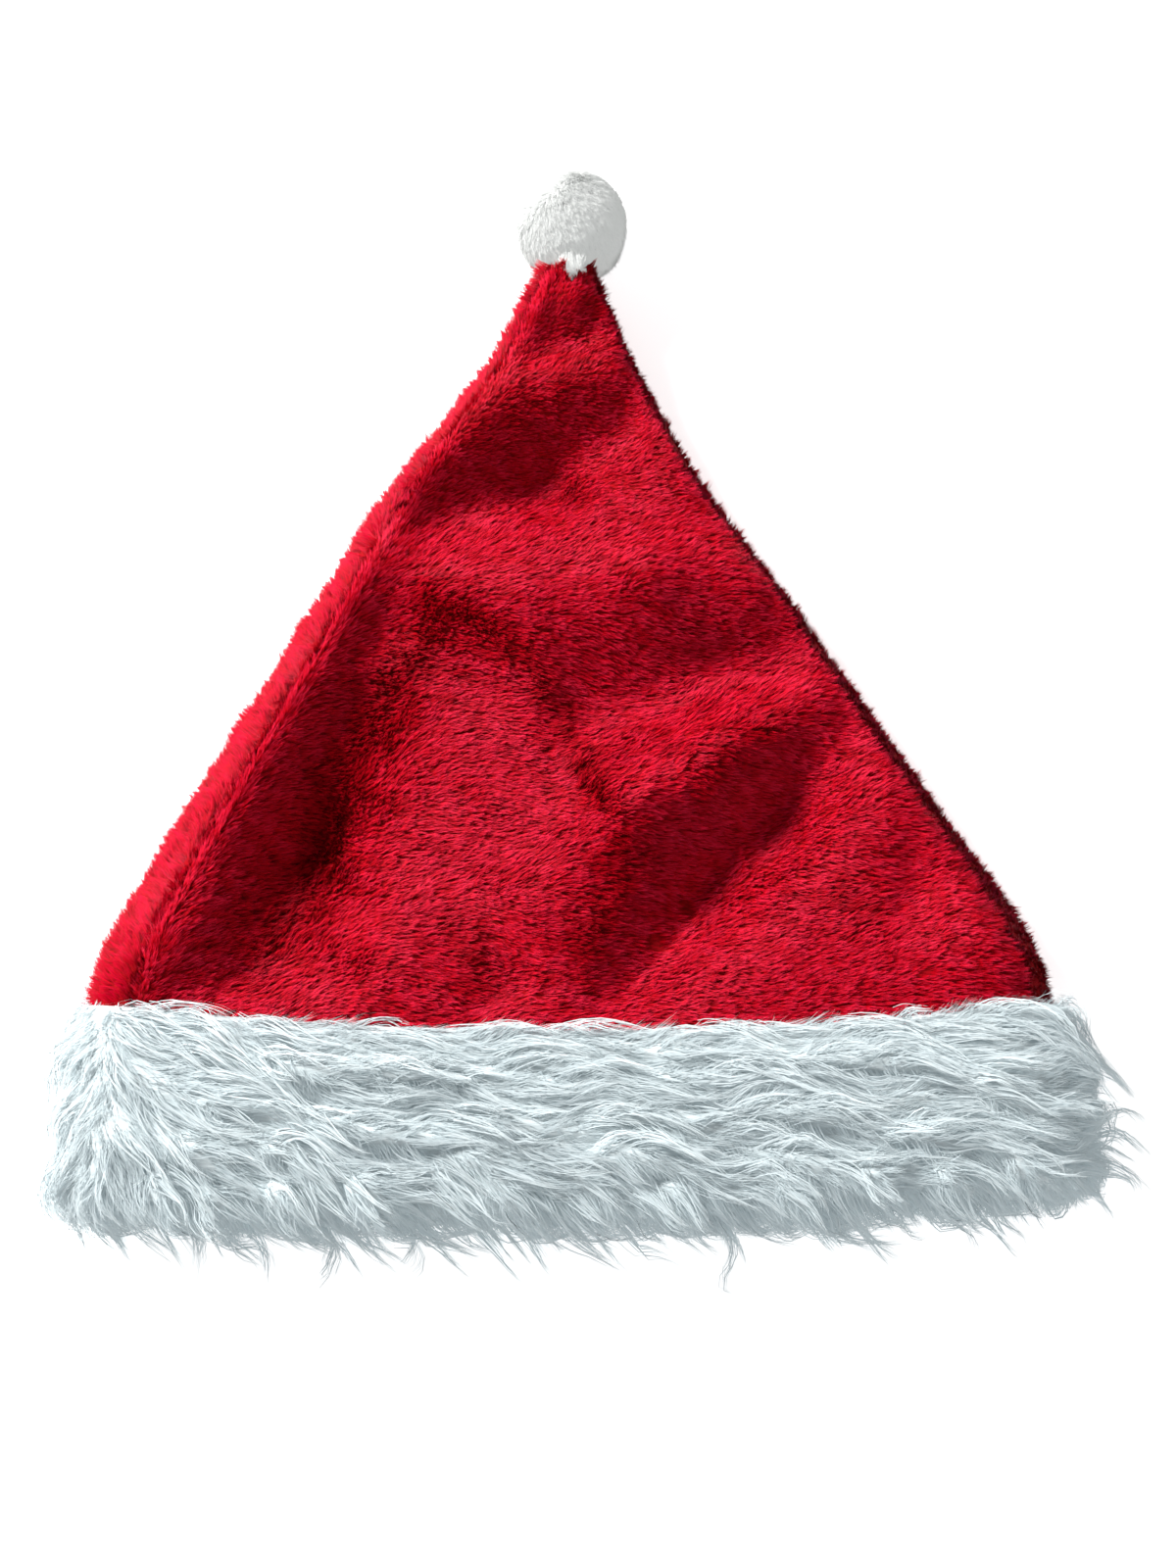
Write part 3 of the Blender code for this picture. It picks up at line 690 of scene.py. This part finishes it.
def locks(surface, triangles, count, per_lock, steps, density):
    """Paths (fibres, points, 3) and normals of fibres gathered in wavy locks."""
    starts, normals = scatter(triangles, count, density)
    over = normals[:, 2] > -0.3
    long, short = chance.uniform(0.017, 0.029, count), chance.uniform(0.010, 0.016, count)
    length = np.where(over, long, short)
    height = np.where(over, chance.uniform(0.0008, 0.0036, count), 0.0006)
    hold = np.where(chance.random(count) < 0.75, 1.0, 0.35)
    phase = phase_of(starts) + chance.normal(0, 0.5, count)
    guides = grow(surface, starts, normals, length, height, hold, phase, steps)
    total = count * per_lock
    paths = np.repeat(guides, per_lock, axis=0)
    radius = chance.normal(0, 0.0016, (total, 1, 3))
    t = np.linspace(0, 1, steps + 1)[None, :, None]
    gather = 1 - 0.84 * np.minimum(t * 1.7, 1) ** 0.9
    paths = paths + radius * gather
    frizz = chance.normal(0, 1, (total, 1, 3)) * np.sin(
        t * chance.uniform(3, 9, (total, 1, 1)) + chance.uniform(0, 6.3, (total, 1, 1))
    )
    paths = paths + frizz * 0.0004 * (0.3 + t)
    stretch = chance.uniform(0.72, 1.08, (total, 1, 1))
    paths = inside(paths[:, :1] + (paths - paths[:, :1]) * stretch, FUR_REACH)
    off_floor(paths, 0.0002)
    return paths, np.repeat(unit(normals + np.array([0, 0, 1.0])), per_lock, axis=0)


def add_brim(base, whole):
    white, shader = strand_material(
        "white_fibres", (0.46, 0.53, 0.553), (0.57, 0.635, 0.655), (0.63, 0.69, 0.703), 0.10, 0.5
    )
    set_gloss(shader, 0.18, 0.08)
    set_glow(shader, (0.85, 0.96, 1), 0.13)
    # white_underfur is a little darker than the long fibres: painted shade under the locks.
    soft, shader = strand_material(
        "white_underfur",
        *((0.43, 0.50, 0.523), (0.515, 0.585, 0.607), (0.57, 0.635, 0.653)),
        *(0.12, 0.6),
    )
    set_gloss(shader, 0.1, 0.08)
    set_glow(shader, (0.85, 0.96, 1), 0.12)
    band, shader = cloth_material(
        "white_fur_base", (0.52, 0.59, 0.61), (0.66, 0.73, 0.75), 420, (0.2, 1, 1), 0.001
    )
    set_gloss(shader, 0.2, 0.2)
    surface = tree_of([base])
    add_piece("fur_band", base, band, "brim")
    triangles = outer_triangles(base, whole, 0.006)

    def density(points, normals):
        under = np.where(normals[:, 2] < -0.6, 0.25, 1.0)
        return under * np.where(points[:, 1] > -0.108, 1.3, 1.0)

    def flow(points, normals):
        return fur_flow(points, normals, phase_of(points))

    def length(points, normals):
        return np.where(normals[:, 2] > -0.3, 0.0075, 0.0050)

    look = {"length": length, "width": 0.00028, "spread": 0.0010, "lean": 1.15, "gather": 0.8}
    look.update(shade=0.9, softness=0.9, lift=1.0)
    mesh = pile("under_fur", triangles, UNDER_TUFTS, UNDER_FIBRES, flow, look, density)
    add_piece("under_fur", mesh, soft)
    for part in (1, 2):
        paths, normals = locks(surface, triangles, LOCKS, LOCK_FIBRES, LOCK_STEPS, density)
        widths = FIBRE_WIDTH * chance.uniform(0.6, 1.15, len(paths))
        mesh = ribbons(f"long_fur_{part}", paths, normals, widths, 0.8)
        add_piece(mesh.name, mesh, white)


# Pompom

POMPOM_BALL = 0.0172
POMPOM_HEIGHT = 0.0165  # of the ball's middle
POMPOM_TUFTS, POMPOM_FIBRES = 15000, 6
# The fur parts along a line over the ball, this far up and left of its middle
PARTING_SIDE = np.array([-0.667, 0.743, 0.0])
PARTING_OFFSET = 0.0073
# The tuft in the notch between the plush's two peaks: middle of its roots, and of its tips
TUFT = ((-0.0052, 0.1365, 0.0262), (-0.0050, 0.1292, 0.0300))
TUFT_FIBRES = 700


def add_pompom():
    white, shader = strand_material(
        "pompom_fibres", (0.44, 0.45, 0.445), (0.50, 0.51, 0.505), (0.55, 0.56, 0.555), 0.12, 0.6
    )
    set_gloss(shader, 0.15, 0.1)
    set_glow(shader, (0.98, 1, 0.98), 0.27)
    core_look, shader = cloth_material(
        "pompom_base", (0.46, 0.47, 0.465), (0.52, 0.53, 0.525), 700, (1, 1, 1), 0.0005
    )
    set_gloss(shader, 0.2, 0.2)
    low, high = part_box("pompom")
    centre = (Vector(low) + Vector(high)) / 2
    centre.z = POMPOM_HEIGHT
    shape = bmesh.new()
    bmesh.ops.create_icosphere(shape, subdivisions=4, radius=1)
    ways = np.array([tuple(v.co) for v in shape.verts])
    swell = 1 + 0.012 * waves(ways, 1.6, 35, 2)
    swell += 0.05 * np.clip(ways @ np.array([-0.85, -0.5, 0.0]), 0, 1)
    for corner, much in zip(shape.verts, swell):
        corner.co = centre + corner.co * POMPOM_BALL * much
        corner.co.z = max(corner.co.z, 0.0008)
    core = bpy.data.meshes.new("pompom_ball")
    shape.to_mesh(core)
    shape.free()
    core.shade_smooth()
    add_piece("pompom_ball", core, core_look, "pompom")
    triangles = outer_triangles(core, tree_of([core]), 0.03)

    def field(points, normals):
        """Away from the parting on both its sides."""
        apart = (points - np.array(centre)) @ PARTING_SIDE - PARTING_OFFSET
        apart = np.tanh(apart / 0.005)[:, None]
        flow = PARTING_SIDE * apart + np.array([0.25, -0.55, -0.3]) * (1 - apart) / 2
        flow = flow - np.array([0, 0, 0.5]) * (1 + apart) / 2
        return flow + 0.35 * np.stack([waves(points, 0.02, k) for k in (31, 32, 33)], axis=1)

    def length(points, normals):
        return np.full(len(points), 0.0033)

    look = {"length": length, "width": 0.00034, "spread": 0.0006, "lean": 1.27, "gather": 0.5}
    look.update(shade=1.0, softness=0.7, lift=8)
    mesh = pile("pompom_fur", triangles, POMPOM_TUFTS, POMPOM_FIBRES, field, look)
    add_piece("pompom_fur", mesh, white)
    scatter_size = np.array([0.0016, 0.0012, 0.0006])
    roots = np.array(TUFT[0]) + chance.normal(0, 1, (TUFT_FIBRES, 3)) * scatter_size
    fan = (roots[:, :1] - TUFT[0][0]) * np.array([0.6, 0, 0])
    tips = np.array(TUFT[1]) + fan + chance.normal(0, 0.0009, (TUFT_FIBRES, 3))
    tips = roots + (tips - roots) * chance.uniform(0.6, 1.05, (TUFT_FIBRES, 1))
    up = np.tile(unit(np.array([0.0, -0.3, 0.95])), (TUFT_FIBRES, 1))
    width = 0.00030 * chance.uniform(0.7, 1.2, TUFT_FIBRES)
    shade = chance.uniform(0.3, 0.9, TUFT_FIBRES)
    mesh = spikes("pompom_tuft", roots, tips, up, up, width, shade, 0.3)
    add_piece("pompom_tuft", mesh, white)


add_camera()
add_studio()
front = smooth_copy("crown_front", "plush_front")
shape_tip(front)
back = smooth_copy("crown_back", "plush_back")
band = smooth_copy("brim", "fur_band")
whole = tree_of([front, back, band])
add_crown(front, back, whole)
add_brim(band, whole)
add_pompom()
